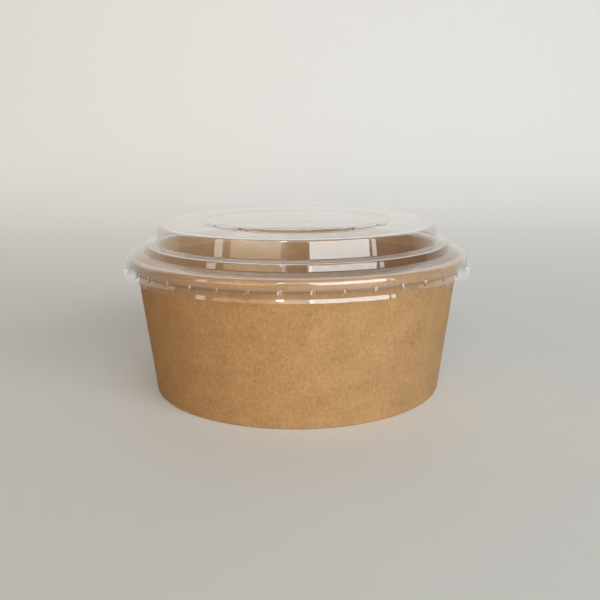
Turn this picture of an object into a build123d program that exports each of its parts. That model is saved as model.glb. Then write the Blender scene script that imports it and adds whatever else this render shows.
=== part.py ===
from build123d import *
import os
from math import atan2, cos, degrees, radians, tan

# All lengths are in millimetres and all angles in degrees. The bowl stands on z = 0 round the Z axis.

# Chords that draw each round bend
bend_chord_count = 1

# Bowl board: one thickness of kraft board for the wall and the floor
paper = 0.45
glue_gap = 0.08

# Bowl outline
rim_diameter = 150.0
base_diameter = 130.0
bowl_height = 61.3

# Rolled rim: the wall's top edge is rolled outwards and under, as far as the wall
roll_width = 3.2
roll_height = 4.9
roll_bend = 1.45
roll_gap = 0.12
roll_bend_share = 0.46

# Foot: the wall's bottom edge is folded in and up, round the skirt of the floor
floor_recess = 6.5
tuck_gap = 1.6
skirt_gap = 0.3

# Side seam: the two ends of the wall's blank overlap in a strip at the back
seam_lap = 7.0

# Lid film, formed in one piece
film = 0.3
seat_gap = 0.06

# Lid seat: it slopes over the rolled rim and turns down outside it
seat_slope = 12.6
seat_width = 6.8
shoulder_play = 0.6
shoulder_bend = 1.9

# Lid tiers, from the seat up to the raised middle disc
lower_wall_run = 0.6
lower_wall_rise = 3.05
ledge_width = 5.0
ledge_rise = 0.6
upper_wall_run = 1.3
upper_wall_rise = 7.8
crown_bend = 1.3
disc_diameter = 82.0
disc_bevel = 0.9
disc_rise = 1.1

# Lid skirt: a crease below the rim, then a flange that flares out to a steep lip
snap_drop = 0.1
flange_run = 1.8
flange_drop = 1.65
lip_run = 0.5
lip_drop = 1.5

# Snap lugs: small dents across the crease, each a notch of four flat flanks. A lug is deepest just below the crease,
# widest on it, and runs out at a point on the skirt above and on the flange below
lug_count = 40
lug_clearance = 0.21
lug_width = 2.6
lug_top_rise = 1.9
lug_deep_drop = 0.75
lug_foot_run = 0.95
lug_overrun_share = 2.2

# Radii and heights that follow from the sizes above
rim_radius = rim_diameter / 2
base_radius = base_diameter / 2
roll_inside = rim_radius - roll_width
roll_underside = bowl_height - roll_height
rim_bend = min(roll_bend, roll_width * roll_bend_share)
lean = degrees(atan2(roll_inside + paper - base_radius, bowl_height - rim_bend))
wall_width = paper / cos(radians(lean))
gap_width = glue_gap / cos(radians(lean))
foot_width = 3 * wall_width + 2 * gap_width


def wall_face(height):
    """Radius of the wall's outer face at a height."""
    return base_radius + height * tan(radians(lean))


def bent(corners, bends):
    """The corners of a line with the bends drawn as chords of their arcs. A bend is the number of its corner and its
    radius, and the other corners are sharp creases."""
    points = [Vector(*corner) for corner in corners]
    line = [points[0]]
    for number in range(1, len(points) - 1):
        before, corner, after = points[number - 1 : number + 2]
        if number not in bends:
            line.append(corner)
            continue
        bend = bends[number]
        arrive, leave = (corner - before).normalized(), (after - corner).normalized()
        turn = arrive.get_signed_angle(leave, Vector(0, 0, 1))
        start = corner - arrive * (bend * tan(radians(abs(turn) / 2)))
        arc = JernArc(start, arrive, bend, turn)
        line += [arc @ (step / bend_chord_count) for step in range(bend_chord_count + 1)]
    return [*line, points[-1]]


def far_skin(skin, thickness):
    """A sheet's other skin, which lies to the left of the one given, or to the right if the thickness is negative."""
    ways = [(after - before).normalized() for before, after in zip(skin, skin[1:])]
    sides = [Vector(-way.Y, way.X) for way in ways]
    inner = [
        point + (one + two) * (thickness / (1 + one.dot(two)))
        for point, one, two in zip(skin[1:-1], sides, sides[1:])
    ]
    return [skin[0] + sides[0] * thickness, *inner, skin[-1] + sides[-1] * thickness]


def turned_sheet(skin, thickness):
    """Solid of revolution of a sheet of even thickness, given by one skin as radius and height."""
    section = make_face(Polyline(*skin, *reversed(far_skin(skin, thickness)), close=True))
    return revolve(Plane.XZ * section, Axis.Z)


def make_sidewall():
    """Conical wall with its folded foot, its rolled rim and the overlapped side seam, as one sheet."""
    foot_inside = base_radius - foot_width
    tuck_height = floor_recess - tuck_gap
    corners = [
        (foot_inside + tuck_height * tan(radians(lean)), tuck_height),
        (foot_inside, 0),
        (base_radius, 0),
        (wall_face(bowl_height - paper), bowl_height - paper),
        (rim_radius - paper, bowl_height - paper),
        (rim_radius - paper, roll_underside + paper),
        (wall_face(roll_underside + paper) + roll_gap, roll_underside + paper),
    ]
    inner_bend = rim_bend - paper
    wall = turned_sheet(bent(corners, {3: inner_bend, 4: inner_bend, 5: inner_bend}), paper)

    seam_foot, seam_top = paper, roll_underside + paper
    strip = Polyline(
        (wall_face(seam_foot), seam_foot),
        (wall_face(seam_top), seam_top),
        (wall_face(seam_top) + wall_width, seam_top),
        (wall_face(seam_foot) + wall_width, seam_foot),
        close=True,
    )
    seam_angle = degrees(seam_lap / rim_radius)
    seam = revolve(Plane.XZ * make_face(strip), Axis.Z, revolution_arc=seam_angle)
    return wall + Rot(Z=90 - seam_angle / 2) * seam


def make_base():
    """Recessed floor disc with a turned-down skirt that stands in the slot of the folded foot."""
    skirt_inset = wall_width + gap_width
    skirt_foot = paper + skirt_gap
    floor_top = floor_recess + paper
    skin = [
        Vector(0, floor_top),
        Vector(wall_face(floor_top) - skirt_inset, floor_top),
        Vector(wall_face(skirt_foot) - skirt_inset, skirt_foot),
    ]
    return turned_sheet(skin, -paper)


def lid_corners():
    """Corners of the lid's inner skin, from the axis outwards and down to the lip."""
    slope = tan(radians(seat_slope))
    seat_contact = rim_radius - rim_bend
    seat_height = bowl_height - rim_bend + (rim_bend + seat_gap) / cos(radians(seat_slope))
    seat_foot = rim_radius - seat_width
    seat_foot_height = seat_height + (seat_contact - seat_foot) * slope
    ledge_edge = seat_foot - lower_wall_run
    ledge_edge_height = seat_foot_height + lower_wall_rise
    ledge_foot = ledge_edge - ledge_width
    ledge_foot_height = ledge_edge_height + ledge_rise
    crown = ledge_foot - upper_wall_run
    crown_height = ledge_foot_height + upper_wall_rise
    disc_edge = disc_diameter / 2
    shoulder = rim_radius + shoulder_play
    crease_height = roll_underside - snap_drop
    flange_foot = shoulder + flange_run
    flange_foot_height = crease_height - flange_drop
    return [
        (0, crown_height + disc_rise),
        (disc_edge, crown_height + disc_rise),
        (disc_edge + disc_bevel, crown_height),
        (crown, crown_height),
        (ledge_foot, ledge_foot_height),
        (ledge_edge, ledge_edge_height),
        (seat_foot, seat_foot_height),
        (shoulder, seat_height - (shoulder - seat_contact) * slope),
        (shoulder, crease_height),
        (flange_foot, flange_foot_height),
        (flange_foot + lip_run, flange_foot_height - lip_drop),
    ]


def lug_notch():
    """The space that a lug takes from outside, on the X axis: one triangle, from the lug's deepest point to its two
    widest ones, drawn out along the line to the lug's top and along the line to its foot."""
    outside = rim_radius + shoulder_play + film
    crease_height = roll_underside - snap_drop
    deepest = Vector(rim_radius + lug_clearance + film, 0, crease_height - lug_deep_drop)
    top = Vector(outside, 0, crease_height + lug_top_rise)
    foot = Vector(outside + lug_foot_run, 0, crease_height - lug_foot_run * flange_drop / flange_run)
    widest = [Vector(outside, side, crease_height) for side in (-lug_width / 2, lug_width / 2)]
    corners = [deepest, *(deepest + (point - deepest) * lug_overrun_share for point in widest)]
    triangle = make_face(Polyline(*corners, close=True))
    upwards, downwards = [(end - deepest) * lug_overrun_share for end in (top, foot)]
    upper = extrude(triangle, amount=upwards.length, dir=upwards)
    lower = extrude(triangle, amount=downwards.length, dir=downwards)
    return upper + lower


def make_lid():
    """Stepped dome formed from one film, with a ring of snap lugs dented into its skirt."""
    skin = bent(lid_corners(), {3: crown_bend, 7: shoulder_bend})
    shell = turned_sheet(skin, film)

    shoulder_skin, crease_skin, foot_skin = far_skin(skin, film)[-4:-1]
    envelope = Polyline(
        (rim_radius, shoulder_skin.Y),
        shoulder_skin,
        crease_skin,
        foot_skin,
        (rim_radius, foot_skin.Y),
        close=True,
    )
    dent = lug_notch()
    bump = offset(dent, amount=film, kind=Kind.INTERSECTION) & revolve(Plane.XZ * make_face(envelope), Axis.Z)
    places = PolarLocations(0, lug_count, start_angle=180 / lug_count)
    return shell + [place * bump for place in places] - [place * dent for place in places]


def save(shape, node):
    """Write one node under its own name."""
    export_step(shape, f"parts/{node}.step")


os.makedirs("parts", exist_ok=True)
save(make_sidewall(), "sidewall")
save(make_base(), "base")
save(make_lid(), "lid")
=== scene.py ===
"""A brown kraft salad bowl with a clear stepped lid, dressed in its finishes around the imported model."""

from math import atan2, cos, pi, radians, sin, tan

import bmesh
import bpy
from mathutils import Matrix, Vector


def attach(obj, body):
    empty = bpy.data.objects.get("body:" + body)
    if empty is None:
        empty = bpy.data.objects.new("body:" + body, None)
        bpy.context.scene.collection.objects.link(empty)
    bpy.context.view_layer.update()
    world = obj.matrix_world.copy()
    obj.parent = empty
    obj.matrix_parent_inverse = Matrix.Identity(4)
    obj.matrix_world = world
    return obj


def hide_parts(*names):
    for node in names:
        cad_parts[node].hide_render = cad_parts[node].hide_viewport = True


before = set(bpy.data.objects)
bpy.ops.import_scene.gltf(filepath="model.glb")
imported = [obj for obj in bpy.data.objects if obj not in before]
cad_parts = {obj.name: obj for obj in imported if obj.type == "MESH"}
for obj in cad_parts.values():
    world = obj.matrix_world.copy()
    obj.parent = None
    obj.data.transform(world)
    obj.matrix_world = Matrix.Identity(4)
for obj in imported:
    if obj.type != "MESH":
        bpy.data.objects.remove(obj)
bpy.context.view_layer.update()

MM = 0.001

# Bowl board, its rolled rim and its folded foot
paper = 0.45 * MM
glue_gap = 0.08 * MM
rim_radius = 75.0 * MM
base_radius = 65.0 * MM
bowl_height = 61.3 * MM
roll_width = 3.2 * MM
roll_height = 4.9 * MM
rim_bend = 1.45 * MM
roll_gap = 0.12 * MM
floor_recess = 6.5 * MM
floor_bend = 0.9 * MM
fold_bend = 0.6 * MM
tuck_gap = 1.6 * MM
skirt_gap = 0.3 * MM
seam_lap = 7.0 * MM
seam_foot = 1.0 * MM

# Lid film and its tiers
film = 0.3 * MM
seat_gap = 0.06 * MM
seat_slope = radians(12.6)
seat_width = 6.8 * MM
shoulder_play = 0.6 * MM
lower_wall_run = 0.6 * MM
lower_wall_rise = 3.05 * MM
ledge_width = 5.0 * MM
ledge_rise = 0.6 * MM
upper_wall_run = 1.3 * MM
upper_wall_rise = 7.8 * MM
disc_radius = 41.0 * MM
disc_bevel = 0.9 * MM
disc_rise = 1.1 * MM
snap_drop = 0.1 * MM
flange_run = 1.8 * MM
flange_drop = 1.65 * MM
lip_run = 0.5 * MM
lip_drop = 1.5 * MM

# Bends of the film
disc_bend = 0.6 * MM
crown_bend = 1.3 * MM
ledge_foot_bend = 0.6 * MM
ledge_edge_bend = 0.8 * MM
seat_foot_bend = 0.7 * MM
shoulder_bend = 1.9 * MM
crease_bend = 0.25 * MM
flange_bend = 0.3 * MM

# Snap lugs: round troughs across the skirt's crease. A trough's bottom is deepest a little above the
# crease, slopes slightly out to a step just below it, and then runs out along the flange
lug_count = 40
lug_clearance = 0.21 * MM
lug_bend = 1.6 * MM
lug_span = 3.2 * MM
lug_top_rise = 1.9 * MM
lug_deep_rise = 1.3 * MM
lug_step_drop = 0.5 * MM
lug_step_run = 0.25 * MM
lug_foot_run = 1.5 * MM

# Radii and heights that follow
roll_inside = rim_radius - roll_width
roll_underside = bowl_height - roll_height
lean = atan2(roll_inside + paper - base_radius, bowl_height - rim_bend)
wall_width = paper / cos(lean)
gap_width = glue_gap / cos(lean)
foot_inside = base_radius - 3 * wall_width - 2 * gap_width
floor_top = floor_recess + paper
crease_height = roll_underside - snap_drop
shoulder_radius = rim_radius + shoulder_play

# How finely the meshes follow their round forms
bend_step = radians(11)
lid_bend_step = radians(15)
lug_rows_pitch = 0.2 * MM
lug_columns = 14
plain_columns = 2
bowl_columns = 300
seam_columns = 6
merge_distance = 0.002 * MM
smooth_angle = radians(34)
outward_share = 0.5

# Kraft board: its colours, and how strong and how fine its blotches, grain, fibres and specks are
deep_kraft = (0.325, 0.16, 0.057, 1)
pale_kraft = (0.70, 0.41, 0.185, 1)
dark_speck = (0.17, 0.08, 0.03, 1)
noise_middle = 0.5
middle_shade = 0.5
blotch_weight = 0.45
blotch_scale = 110.0
grain_weight = 0.8
grain_scale = 900.0
grain_stretch = (1, 1, 0.7)
upright_fibre_scale = 1500.0
upright_fibre_stretch = (1, 1, 0.22)
level_fibre_scale = 1400.0
level_fibre_stretch = (0.3, 0.3, 1)
fibre_waviness = 1.2
fibre_weight = 0.22
raised_fibre_levels = (0.60, 0.72)
sunk_fibre_levels = (0.40, 0.28)
speck_scale = 420.0
speck_levels = (0.16, 0.06)
speck_patch_scale = 170.0
speck_patch_levels = (0.52, 0.62)
speck_weight = 0.6
grain_relief_share = 0.5
board_bump = 0.35
board_relief = 0.06 * MM

# Kraft board: how it shines, bare outside and coated inside and over the roll, and the painted shade on its
# inside
bare_roughness = 0.66
bare_roughness_spread = 0.12
coated_roughness = 0.42
coating_roughness = 0.14
# Painted shade: the bowl's inside below the roll is multiplied by this colour, standing for the shade that
# falls inside the bowl
painted_inside_shade = (0.84, 0.79, 0.70, 1)
board_specular = 0.35
board_fuzz = 0.05

# Clear film
film_tint = (0.975, 0.972, 0.972, 1)
film_shadow = (0.93, 0.93, 0.93, 1)
film_roughness = 0.02
film_index = 1.57
wave_scale = 40.0
wave_bump = 0.012
wave_relief = 0.5 * MM

# Studio floor, and the sweep up to its backdrop, with their lengths in metres
floor_width = 7.0
floor_front = -3.0
floor_back = 1.1
backdrop_height = 2.6
backdrop_sweep = 0.6
sweep_segments = 16
floor_deep = (0.80, 0.795, 0.775, 1)
floor_pale = (0.84, 0.835, 0.815, 1)
floor_mottle_scale = 14.0
floor_roughness = 0.6
floor_specular = 0.3

# The floor's look where light scatters from it to the bowl: dim low down, and paler up the backdrop
floor_dim = (0.16, 0.13, 0.09, 1)
pale_side_levels = (0.05, 0.4)
pale_side_share = 0.7

# How much brighter the studio looks than its lamps make it: behind the bowl, high up, and far in front
glow_tint = (1, 0.99, 0.965, 1)
backdrop_glow = 0.37
backdrop_glow_levels = (-0.45, 1.0)
upper_glow = 0.3
upper_glow_levels = (0.4, 0.8)
front_glow = 0.55
front_glow_levels = (-0.8, -1.8)

# Lamps, with their distances in metres, and the room round them
cool = (0.86, 0.95, 1.0)
plain = (1.0, 0.985, 0.95)
warm = (1.0, 0.75, 0.40)
window_distance = 1.3
near_distance = 1.25
ceiling_distance = 1.5
dim_room = (0.09, 0.068, 0.045, 1)
pale_room = (0.62, 0.61, 0.585, 1)

# Camera, fitted to the photographed ellipses
camera_place = Vector((1.3, -336.7, 112.9)) * MM
camera_pitch = radians(12.68)
camera_roll = radians(-0.34)
focal_pixels = 744.5
frame_pixels = 600
sensor_width = 36.0
nearest_seen = 10 * MM


def wall_radius(height):
    """Radius of the bowl wall's outer face at a height."""
    return base_radius + height * tan(lean)


def rounded(corners, bends, step=bend_step):
    """A line of radius and height with its numbered corners rounded, as {number: radius of the bend}."""
    points = [Vector(corner) for corner in corners]
    line = [points[0]]
    for number in range(1, len(points) - 1):
        before, corner, after = points[number - 1 : number + 2]
        if number not in bends:
            line.append(corner)
            continue
        bend = bends[number]
        arrive, leave = (corner - before).normalized(), (after - corner).normalized()
        turn = atan2(arrive.x * leave.y - arrive.y * leave.x, arrive.dot(leave))
        side = Vector((-arrive.y, arrive.x)) * (1 if turn > 0 else -1) * bend
        centre = corner - arrive * bend * tan(abs(turn) / 2) + side
        steps = max(2, round(abs(turn) / step))
        line += [centre - Matrix.Rotation(turn * part / steps, 2) @ side for part in range(steps + 1)]
    return [*line, points[-1]]


def with_rows(line, foot, top, pitch):
    """The line with extra points where it runs between two heights, so that lugs can be pressed there."""
    dense = [line[0]]
    for start, end in zip(line, line[1:]):
        overlap = min(max(start.y, end.y), top) - max(min(start.y, end.y), foot)
        rows = max(1, round((end - start).length / pitch)) if overlap > 0 else 1
        dense += [start.lerp(end, row / rows) for row in range(1, rows + 1)]
    return dense


def select_where(test):
    """In edit mode, select the vertices that pass the test, with the edges and faces between them."""
    cage = bmesh.from_edit_mesh(bpy.context.edit_object.data)
    bpy.ops.mesh.select_all(action="DESELECT")
    for vertex in cage.verts:
        vertex.select_set(test(vertex.co))
    cage.select_flush(True)


def hold(piece):
    """Select one piece alone, and make it the active one."""
    bpy.ops.object.select_all(action="DESELECT")
    piece.select_set(True)
    bpy.context.view_layer.objects.active = piece


def drawn_line(name, line):
    """A new mesh, left in edit mode, that holds one line of radius and height on the plane of +X."""
    bpy.ops.object.select_all(action="DESELECT")
    bpy.ops.mesh.primitive_plane_add(size=film, location=(0, 0, 0))
    piece = bpy.context.object
    piece.name = piece.data.name = name
    bpy.ops.object.mode_set(mode="EDIT")
    bpy.ops.mesh.select_mode(type="VERT")
    bpy.ops.mesh.select_all(action="SELECT")
    bpy.ops.mesh.merge(type="CENTER")
    bpy.ops.transform.translate(value=(line[0].x, 0, line[0].y))
    for start, end in zip(line, line[1:]):
        way = (end.x - start.x, 0, end.y - start.y)
        bpy.ops.mesh.extrude_vertices_move(TRANSFORM_OT_translate={"value": way})
    bpy.ops.mesh.select_all(action="SELECT")
    return piece


def spin(steps, angle, copies=False):
    """Turn what is selected round the Z axis, anticlockwise seen from above."""
    bpy.ops.mesh.spin(steps=steps, dupli=copies, angle=angle, center=(0, 0, 0), axis=(0, 0, -1))


def close_up():
    """Merge the doubled seams and poles of a turned sheet and point its faces outwards."""
    bpy.ops.mesh.select_all(action="SELECT")
    bpy.ops.mesh.remove_doubles(threshold=merge_distance)
    bpy.ops.mesh.normals_make_consistent(inside=False)
    bpy.ops.object.mode_set(mode="OBJECT")


def thicken(piece, thickness, side):
    """Give a sheet its even thickness: side 1 adds it in front of the drawn skin, and -1 adds it behind."""
    hold(piece)
    wall = piece.modifiers.new("thickness", "SOLIDIFY")
    wall.thickness = thickness
    wall.offset = side
    wall.use_even_offset = True
    bpy.ops.object.modifier_apply(modifier=wall.name)


def smooth(piece):
    """Shade a piece smooth across its round bends and sharp at its cut edges."""
    hold(piece)
    bpy.ops.object.shade_smooth_by_angle(angle=smooth_angle)
    even = piece.modifiers.new("flat faces stay flat", "WEIGHTED_NORMAL")
    even.keep_sharp = True
    bpy.ops.object.modifier_apply(modifier=even.name)


def lid_line():
    """The lid's inner skin, from the axis outwards and down to the lip."""
    seat_contact = rim_radius - rim_bend
    seat_height = bowl_height - rim_bend + (rim_bend + seat_gap) / cos(seat_slope)
    seat_foot = rim_radius - seat_width
    seat_foot_height = seat_height + (seat_contact - seat_foot) * tan(seat_slope)
    ledge_edge = seat_foot - lower_wall_run
    ledge_edge_height = seat_foot_height + lower_wall_rise
    ledge_foot = ledge_edge - ledge_width
    ledge_foot_height = ledge_edge_height + ledge_rise
    crown = ledge_foot - upper_wall_run
    crown_height = ledge_foot_height + upper_wall_rise
    flange_foot = shoulder_radius + flange_run
    flange_foot_height = crease_height - flange_drop
    corners = [
        (0, crown_height + disc_rise),
        (disc_radius, crown_height + disc_rise),
        (disc_radius + disc_bevel, crown_height),
        (crown, crown_height),
        (ledge_foot, ledge_foot_height),
        (ledge_edge, ledge_edge_height),
        (seat_foot, seat_foot_height),
        (shoulder_radius, seat_height - (shoulder_radius - seat_contact) * tan(seat_slope)),
        (shoulder_radius, crease_height),
        (flange_foot, flange_foot_height),
        (flange_foot + lip_run, flange_foot_height - lip_drop),
    ]
    bends = [disc_bend, disc_bend, crown_bend, ledge_foot_bend, ledge_edge_bend]
    bends += [seat_foot_bend, shoulder_bend, crease_bend, flange_bend]
    line = rounded(corners, dict(enumerate(bends, start=1)), lid_bend_step)
    return with_rows(line, flange_foot_height, crease_height + lug_top_rise, lug_rows_pitch)


def along(stations, height):
    """Value at a height on a line of stations, given as (height, value) from the lowest up, or 0 past it."""
    for (foot, low), (top, high) in zip(stations, stations[1:]):
        if foot <= height <= top:
            return low + (high - low) * (height - foot) / (top - foot)
    return 0.0


def press_lug(middle):
    """Press one snap lug into the open sector, vertex by vertex, straight in at its middle's angle."""
    inwards = Vector((-cos(middle), -sin(middle), 0))
    across = Vector((-sin(middle), cos(middle), 0))
    foot = crease_height - lug_foot_run * flange_drop / flange_run
    step = crease_height - lug_step_drop
    deep = crease_height + lug_deep_rise
    top = crease_height + lug_top_rise
    deepest = rim_radius + lug_clearance
    skin = [
        (foot, shoulder_radius + lug_foot_run),
        (crease_height, shoulder_radius),
        (top, shoulder_radius),
    ]
    bottom = [skin[0], (step, deepest + lug_step_run), (deep, deepest), skin[-1]]
    presses = []
    for vertex in bmesh.from_edit_mesh(bpy.context.edit_object.data).verts:
        depth = along(skin, vertex.co.z) - along(bottom, vertex.co.z)
        press = depth - vertex.co.dot(across) ** 2 / (2 * lug_bend)
        if press > 0:
            presses.append((vertex.co.copy(), press))
    for place, press in presses:
        select_where(lambda spot: (spot - place).length < merge_distance)
        bpy.ops.transform.translate(value=inwards * press)


def make_lid():
    """Clear film: one sector with one lug is turned and pressed, then copied all the way round."""
    pitch = 2 * pi / lug_count
    dent = lug_span / rim_radius
    piece = drawn_line("lid_film", lid_line())
    spin(plain_columns, (pitch - dent) / 2)
    spin(lug_columns, dent)
    spin(plain_columns, (pitch - dent) / 2)
    press_lug(pitch / 2)
    bpy.ops.mesh.select_all(action="SELECT")
    spin(lug_count - 1, 2 * pi - pitch, copies=True)
    close_up()
    thicken(piece, film, 1)
    smooth(piece)
    return piece


def raise_seam(piece, seam_angle, seam_top):
    """Draw the wall's outer face out by one more board where the two ends of its blank lap."""
    bpy.ops.object.mode_set(mode="EDIT")
    bpy.ops.mesh.select_mode(type="FACE")
    cage = bmesh.from_edit_mesh(piece.data)
    bpy.ops.mesh.select_all(action="DESELECT")
    for face in cage.faces:
        middle = face.calc_center_median()
        outside = face.normal.dot(Vector((middle.x, middle.y, 0)).normalized()) > outward_share
        lapped = 0 < atan2(middle.y, middle.x) < seam_angle and seam_foot < middle.z < seam_top
        on_wall = Vector(middle.xy).length < wall_radius(middle.z) + paper / 2
        face.select_set(outside and lapped and on_wall)
    bpy.ops.mesh.extrude_region_shrink_fatten(TRANSFORM_OT_shrink_fatten={"value": wall_width})
    bpy.ops.object.mode_set(mode="OBJECT")


def make_sidewall():
    """Board wall, turned from its folded foot to its rolled rim, with its lapped seam at the back."""
    tuck_height = floor_recess - tuck_gap
    seam_top = roll_underside + paper
    corners = [
        (foot_inside + tuck_height * tan(lean), tuck_height),
        (foot_inside, 0),
        (base_radius, 0),
        (wall_radius(seam_foot), seam_foot),
        (wall_radius(seam_top), seam_top),
        (wall_radius(bowl_height - paper), bowl_height - paper),
        (rim_radius - paper, bowl_height - paper),
        (rim_radius - paper, roll_underside + paper),
        (wall_radius(roll_underside + paper) + roll_gap, roll_underside + paper),
    ]
    inner_bend = rim_bend - paper
    line = rounded(corners, {1: fold_bend, 2: fold_bend, 5: inner_bend, 6: inner_bend, 7: inner_bend})
    seam_angle = seam_lap / rim_radius
    piece = drawn_line("board_wall", line)
    spin(seam_columns, seam_angle)
    spin(bowl_columns, 2 * pi - seam_angle)
    close_up()
    thicken(piece, paper, 1)
    raise_seam(piece, seam_angle, seam_top)

    hold(piece)
    piece.rotation_euler.z = pi / 2 - seam_angle / 2
    bpy.ops.object.transform_apply(location=False, rotation=True, scale=False)
    smooth(piece)
    return piece


def make_base():
    """Board floor, recessed above the ground, with its edge turned down into the fold of the foot."""
    skirt_inset = wall_width + gap_width
    skirt_foot = paper + skirt_gap
    corners = [
        (0, floor_top),
        (wall_radius(floor_top) - skirt_inset, floor_top),
        (wall_radius(skirt_foot) - skirt_inset, skirt_foot),
    ]
    piece = drawn_line("board_floor", rounded(corners, {1: floor_bend}))
    spin(bowl_columns, 2 * pi)
    close_up()
    thicken(piece, paper, -1)
    smooth(piece)
    return piece


def node(tree, kind, inputs=None, **settings):
    """Add a node to a tree. An input given as a socket is linked, and any other is set as a value."""
    made = tree.nodes.new("ShaderNode" + kind)
    for name, value in settings.items():
        setattr(made, name, value)
    for name, value in (inputs or {}).items():
        if isinstance(value, bpy.types.NodeSocket):
            tree.links.new(value, made.inputs[name])
        else:
            made.inputs[name].default_value = value
    return made


def calc(tree, operation, first, second=0.0, third=0.0, clamp=False):
    """One sum, given as numbers or sockets, that puts out a socket."""
    inputs = {0: first, 1: second, 2: third}
    return node(tree, "Math", inputs, operation=operation, use_clamp=clamp).outputs[0]


def band(tree, value, low, high):
    """A mask that rises smoothly from 0 at the low value to 1 at the high one."""
    inputs = {"Value": value, "From Min": low, "From Max": high}
    return node(tree, "MapRange", inputs, interpolation_type="SMOOTHSTEP").outputs[0]


def blend(tree, share, first, second, way="MIX"):
    """Two colours mixed by a share, or the second laid over the first in another way."""
    inputs = {0: share, 6: first, 7: second}
    return node(tree, "Mix", inputs, data_type="RGBA", blend_type=way).outputs[2]


def new_group(name, inputs, outputs):
    """A shader node group: its tree, the sockets that are given to it and those that it puts out, by name."""
    tree = bpy.data.node_groups.new(name, "ShaderNodeTree")
    kinds = {"color": "NodeSocketColor", "value": "NodeSocketFloat"}
    for socket, kind in inputs.items():
        tree.interface.new_socket(socket, in_out="INPUT", socket_type=kinds[kind])
    for socket, kind in outputs.items():
        tree.interface.new_socket(socket, in_out="OUTPUT", socket_type=kinds[kind])
    entry = tree.nodes.new("NodeGroupInput")
    return tree, entry.outputs, tree.nodes.new("NodeGroupOutput").inputs


def noise(tree, coordinates, scale, stretch=(1, 1, 1), detail=3.0, roughness=0.5, distortion=0.0):
    """Noise on object coordinates, drawn out along an axis by a small stretch number."""
    inputs = {
        "Vector": node(tree, "Mapping", {"Vector": coordinates, "Scale": stretch}).outputs[0],
        "Scale": scale,
        "Detail": detail,
        "Roughness": roughness,
        "Distortion": distortion,
    }
    return node(tree, "TexNoise", inputs).outputs["Fac"]


def make_kraft_fibres():
    """Node group for unbleached board: cloudy blotches, fine grain, drawn-out fibres and dark specks."""
    inputs = {"Deep": "color", "Pale": "color", "Speck": "color", "Blotches": "value", "Grain": "value"}
    outputs = {"Color": "color", "Shade": "value", "Height": "value"}
    tree, given, result = new_group("kraft_fibres", inputs, outputs)
    place = node(tree, "TexCoord").outputs["Object"]
    blotches = noise(tree, place, blotch_scale, detail=2.0, roughness=0.45)
    grain = noise(tree, place, grain_scale, grain_stretch, detail=4.0, roughness=0.62)
    fibres = {"detail": 2.0, "distortion": fibre_waviness}
    upright = noise(tree, place, upright_fibre_scale, upright_fibre_stretch, **fibres)
    level = noise(tree, place, level_fibre_scale, level_fibre_stretch, **fibres)
    raised = [band(tree, fibre, *raised_fibre_levels) for fibre in (upright, level)]
    sunk = [band(tree, fibre, *sunk_fibre_levels) for fibre in (upright, level)]
    relief = calc(tree, "SUBTRACT", calc(tree, "MAXIMUM", *raised), calc(tree, "MAXIMUM", *sunk))

    cloud = calc(tree, "MULTIPLY", calc(tree, "SUBTRACT", blotches, noise_middle), given["Blotches"])
    fine = calc(tree, "MULTIPLY", calc(tree, "SUBTRACT", grain, noise_middle), given["Grain"])
    drawn = calc(tree, "MULTIPLY", relief, fibre_weight)
    mottled = calc(tree, "ADD", cloud, fine)
    shade = calc(tree, "ADD", mottled, calc(tree, "ADD", drawn, middle_shade), clamp=True)
    board = blend(tree, shade, given["Deep"], given["Pale"])

    cell_inputs = {"Vector": place, "Scale": speck_scale, "Randomness": 1.0}
    cells = node(tree, "TexVoronoi", cell_inputs).outputs["Distance"]
    patches = band(tree, noise(tree, place, speck_patch_scale, detail=1.0), *speck_patch_levels)
    rare = calc(tree, "MULTIPLY", patches, speck_weight)
    specks = calc(tree, "MULTIPLY", band(tree, cells, *speck_levels), rare)
    tree.links.new(blend(tree, specks, board, given["Speck"]), result["Color"])
    tree.links.new(shade, result["Shade"])
    tree.links.new(calc(tree, "MULTIPLY_ADD", grain, grain_relief_share, drawn), result["Height"])
    return tree


def make_coating_and_shade_masks():
    """Node group for the bowl's thin coating and its painted shade: a mask for all the coating, and one of
    the inside that leaves out the roll, where shade is painted.
    """
    outputs = {"Coated": "value", "Inside": "value"}
    tree, given, result = new_group("coating_and_shade_masks", {"Lowest": "value"}, outputs)
    place = node(tree, "TexCoord").outputs["Object"]
    axes = node(tree, "SeparateXYZ", {0: place}).outputs
    flat = node(tree, "CombineXYZ", {0: axes[0], 1: axes[1]}).outputs[0]
    radius = node(tree, "VectorMath", {0: flat}, operation="LENGTH").outputs["Value"]
    mid_sheet = calc(tree, "MULTIPLY_ADD", axes[2], tan(lean), base_radius - paper / 2)
    within = calc(tree, "LESS_THAN", radius, mid_sheet)
    above = calc(tree, "GREATER_THAN", axes[2], given["Lowest"])
    rolled = calc(tree, "GREATER_THAN", axes[2], roll_underside - paper)
    inner = calc(tree, "MULTIPLY", within, above)
    tree.links.new(calc(tree, "MAXIMUM", inner, rolled), result["Coated"])
    tree.links.new(calc(tree, "MULTIPLY", inner, calc(tree, "SUBTRACT", 1.0, rolled)), result["Inside"])
    return tree


def new_material(name):
    """An empty node material: the material, its tree and its output node."""
    material = bpy.data.materials.new(name)
    material.use_nodes = True
    material.node_tree.nodes.clear()
    return material, material.node_tree, material.node_tree.nodes.new("ShaderNodeOutputMaterial")


kraft_fibres = make_kraft_fibres()
coating_and_shade_masks = make_coating_and_shade_masks()


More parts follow.
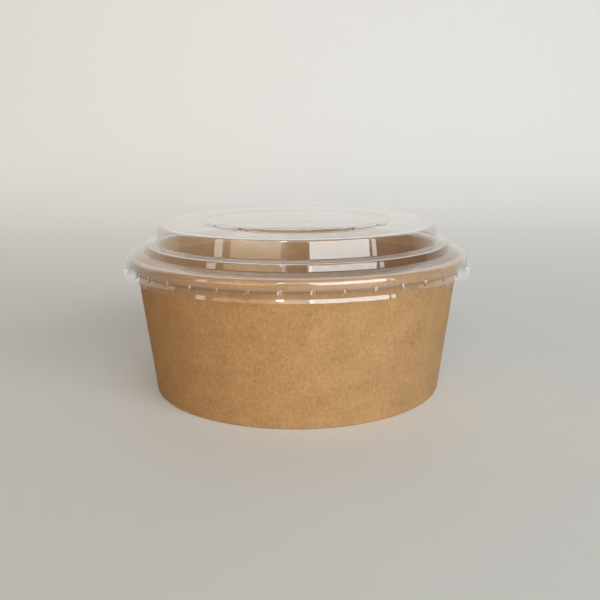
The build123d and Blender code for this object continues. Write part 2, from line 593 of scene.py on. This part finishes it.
def make_board(name, lowest_coating_and_shade):
    """Kraft board: matt and fibrous outside, and smooth and slightly glossy where it is coated, with painted
    shade darkening its inside below the roll.
    """
    material, tree, output = new_material(name)
    fibres = node(tree, "Group", node_tree=kraft_fibres)
    fibres.inputs["Deep"].default_value = deep_kraft
    fibres.inputs["Pale"].default_value = pale_kraft
    fibres.inputs["Speck"].default_value = dark_speck
    fibres.inputs["Blotches"].default_value = blotch_weight
    fibres.inputs["Grain"].default_value = grain_weight
    coating = node(tree, "Group", node_tree=coating_and_shade_masks)
    coating.inputs["Lowest"].default_value = lowest_coating_and_shade
    coated = coating.outputs["Coated"]
    bare = calc(tree, "MULTIPLY_ADD", fibres.outputs["Shade"], bare_roughness_spread, bare_roughness)
    bump_inputs = {"Height": fibres.outputs["Height"], "Strength": board_bump, "Distance": board_relief}
    rough_inputs = {0: coated, 2: bare, 3: coated_roughness}
    roughness = node(tree, "Mix", rough_inputs, data_type="FLOAT").outputs[0]
    # Painted shade: the inside below the roll is darkened by the inside colour, for the shade that falls
    # inside the bowl
    inside = coating.outputs["Inside"]
    inputs = {
        "Base Color": blend(tree, inside, fibres.outputs["Color"], painted_inside_shade, "MULTIPLY"),
        "Roughness": roughness,
        "Normal": node(tree, "Bump", bump_inputs).outputs[0],
        "Coat Weight": coated,
        "Coat Roughness": coating_roughness,
        "Specular IOR Level": board_specular,
        "Sheen Weight": board_fuzz,
    }
    board = node(tree, "BsdfPrincipled", inputs)
    tree.links.new(board.outputs[0], output.inputs["Surface"])
    return material


def make_film():
    """Clear thermoformed film: glossy, slightly wavy, and lets the lamps through to the board."""
    material, tree, output = new_material("clear_film_sheet")
    place = node(tree, "TexCoord").outputs["Object"]
    waves = noise(tree, place, wave_scale, detail=1.0)
    bump = node(tree, "Bump", {"Height": waves, "Strength": wave_bump, "Distance": wave_relief})
    inputs = {
        "Base Color": film_tint,
        "Transmission Weight": 1.0,
        "Roughness": film_roughness,
        "IOR": film_index,
        "Normal": bump.outputs[0],
    }
    sheet = node(tree, "BsdfPrincipled", inputs)
    clear = node(tree, "BsdfTransparent", {"Color": film_shadow})
    rays = node(tree, "LightPath").outputs
    lit = calc(tree, "MAXIMUM", rays["Is Shadow Ray"], rays["Is Diffuse Ray"])
    mixed = node(tree, "MixShader", {0: lit, 1: sheet.outputs[0], 2: clear.outputs[0]})
    tree.links.new(mixed.outputs[0], output.inputs["Surface"])
    return material


def dress(piece, cad_node, body, material):
    """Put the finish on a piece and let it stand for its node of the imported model."""
    piece.data.materials.clear()
    piece.data.materials.append(material)
    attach(piece, body)
    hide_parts(cad_node)


def seen_directly(tree):
    """1 where the camera sees a surface, also mirrored or through the film, and 0 for scattered light."""
    rays = node(tree, "LightPath").outputs
    mirrored = calc(tree, "MAXIMUM", rays["Is Glossy Ray"], rays["Is Transmission Ray"])
    return calc(tree, "MAXIMUM", rays["Is Camera Ray"], mirrored)


def make_pale_floor():
    """Matt pale finish of the floor. It looks brighter than the lamps make it and lights the bowl dimly."""
    material, tree, output = new_material("pale_floor")
    place = node(tree, "TexCoord").outputs["Object"]
    axes = node(tree, "SeparateXYZ", {0: place}).outputs
    seen = seen_directly(tree)
    tint = blend(tree, noise(tree, place, floor_mottle_scale, detail=4.0), floor_deep, floor_pale)
    high = calc(tree, "MULTIPLY", band(tree, axes[2], *pale_side_levels), pale_side_share)
    shown = blend(tree, calc(tree, "MAXIMUM", seen, high), floor_dim, tint)
    depth = calc(tree, "ADD", axes[1], axes[2])
    behind = calc(tree, "MULTIPLY", band(tree, depth, *backdrop_glow_levels), backdrop_glow)
    above = calc(tree, "MULTIPLY", band(tree, axes[2], *upper_glow_levels), upper_glow)
    front = calc(tree, "MULTIPLY", band(tree, axes[1], *front_glow_levels), front_glow)
    glow = calc(tree, "ADD", calc(tree, "ADD", behind, above), front)
    inputs = {
        "Base Color": shown,
        "Roughness": floor_roughness,
        "Specular IOR Level": floor_specular,
        "Emission Color": glow_tint,
        "Emission Strength": calc(tree, "MULTIPLY", seen, glow),
    }
    matt = node(tree, "BsdfPrincipled", inputs)
    tree.links.new(matt.outputs[0], output.inputs["Surface"])
    return material


def make_studio():
    """Pale floor that sweeps up into a pale backdrop."""
    bpy.ops.object.select_all(action="DESELECT")
    bpy.ops.mesh.primitive_plane_add(size=1, location=(0, 0, 0))
    floor = bpy.context.object
    floor.name = floor.data.name = "studio_floor"
    bpy.ops.object.mode_set(mode="EDIT")
    bpy.ops.mesh.select_mode(type="VERT")
    bpy.ops.transform.resize(value=(floor_width, floor_back - floor_front, 1))
    bpy.ops.transform.translate(value=(0, (floor_back + floor_front) / 2, 0))
    select_where(lambda spot: spot.y > floor_back - backdrop_sweep)
    bpy.ops.mesh.extrude_region_move(TRANSFORM_OT_translate={"value": (0, 0, backdrop_height)})
    select_where(lambda spot: spot.y > floor_back - backdrop_sweep and spot.z < backdrop_sweep)
    bpy.ops.mesh.bevel(offset=backdrop_sweep, segments=sweep_segments, affect="EDGES")
    bpy.ops.object.mode_set(mode="OBJECT")
    smooth(floor)
    floor.data.materials.append(make_pale_floor())


def add_softbox(name, azimuths, heights, distance, radiance, tint):
    """A soft rectangular lamp that faces the bowl between two azimuths and two heights, in degrees.
    Azimuth 0 is the camera's side and turns towards +X."""
    azimuth, height = radians(sum(azimuths) / 2), radians(sum(heights) / 2)
    half_width = radians(azimuths[1] - azimuths[0]) / 2
    half_height = radians(heights[1] - heights[0]) / 2
    target = Vector((0, 0, bowl_height))
    way = Vector((sin(azimuth) * cos(height), -cos(azimuth) * cos(height), sin(height)))
    lamp = bpy.data.lights.new(name, "AREA")
    lamp.shape = "RECTANGLE"
    lamp.size = 2 * distance * tan(half_width)
    lamp.size_y = 2 * distance * tan(half_height)
    lamp.energy = radiance * pi * lamp.size * lamp.size_y
    lamp.color = tint
    holder = bpy.data.objects.new(name, lamp)
    holder.location = target + way * distance
    holder.rotation_euler = (target - holder.location).to_track_quat("-Z", "Y").to_euler()
    bpy.context.scene.collection.objects.link(holder)


def light_studio():
    """Tall soft windows and strips at both sides of the camera, a dimmer window and a small lamp high
    between them, a low strip that the snap lugs catch, a ceiling and a dim room that looks pale."""
    # Name, azimuths and heights in degrees, distance, radiance and tint
    lamps = [
        ("right_window", (10, 57), (-2, 34), window_distance, 5.1, cool),
        ("right_strip", (59.5, 62.5), (-2, 25), window_distance, 3.6, cool),
        ("middle_window", (-10, 10), (17, 30), window_distance, 2.0, plain),
        ("left_window", (-52, -12), (-2, 25), window_distance, 1.3, warm),
        ("left_strip", (-64, -58), (-2, 25), window_distance, 2.4, plain),
        ("low_strip", (-60, -18), (-1.5, 4.5), near_distance, 3.2, warm),
        ("ceiling", (-28, 28), (98, 140), ceiling_distance, 0.4, plain),
        ("small_lamp", (-12.5, -6.5), (26, 32), near_distance, 18.0, plain),
    ]
    for lamp in lamps:
        add_softbox(*lamp)
    world = bpy.data.worlds.new("room")
    world.use_nodes = True
    tree = world.node_tree
    rays = node(tree, "LightPath").outputs
    seen = calc(tree, "MAXIMUM", rays["Is Camera Ray"], rays["Is Transmission Ray"])
    room = blend(tree, seen, dim_room, pale_room)
    tree.links.new(room, tree.nodes["Background"].inputs["Color"])
    bpy.context.scene.world = world


def place_camera():
    """The camera at the photographed distance, height and tilt."""
    lens = bpy.data.cameras.new("camera")
    lens.sensor_width = sensor_width
    lens.lens = focal_pixels / frame_pixels * sensor_width
    lens.clip_start = nearest_seen
    camera = bpy.data.objects.new("camera", lens)
    tilt = Matrix.Rotation(pi / 2 - camera_pitch, 4, "X") @ Matrix.Rotation(camera_roll, 4, "Z")
    camera.matrix_world = Matrix.Translation(camera_place) @ tilt
    bpy.context.scene.collection.objects.link(camera)
    bpy.context.scene.camera = camera


place_camera()
light_studio()
make_studio()
wall_board = make_board("kraft_board_wall", floor_recess)
floor_board = make_board("kraft_board_floor", floor_recess + paper / 2)
dress(make_sidewall(), "sidewall", "bowl", wall_board)
dress(make_base(), "base", "bowl", floor_board)
dress(make_lid(), "lid", "lid", make_film())
bpy.context.scene.view_settings.view_transform = "Standard"
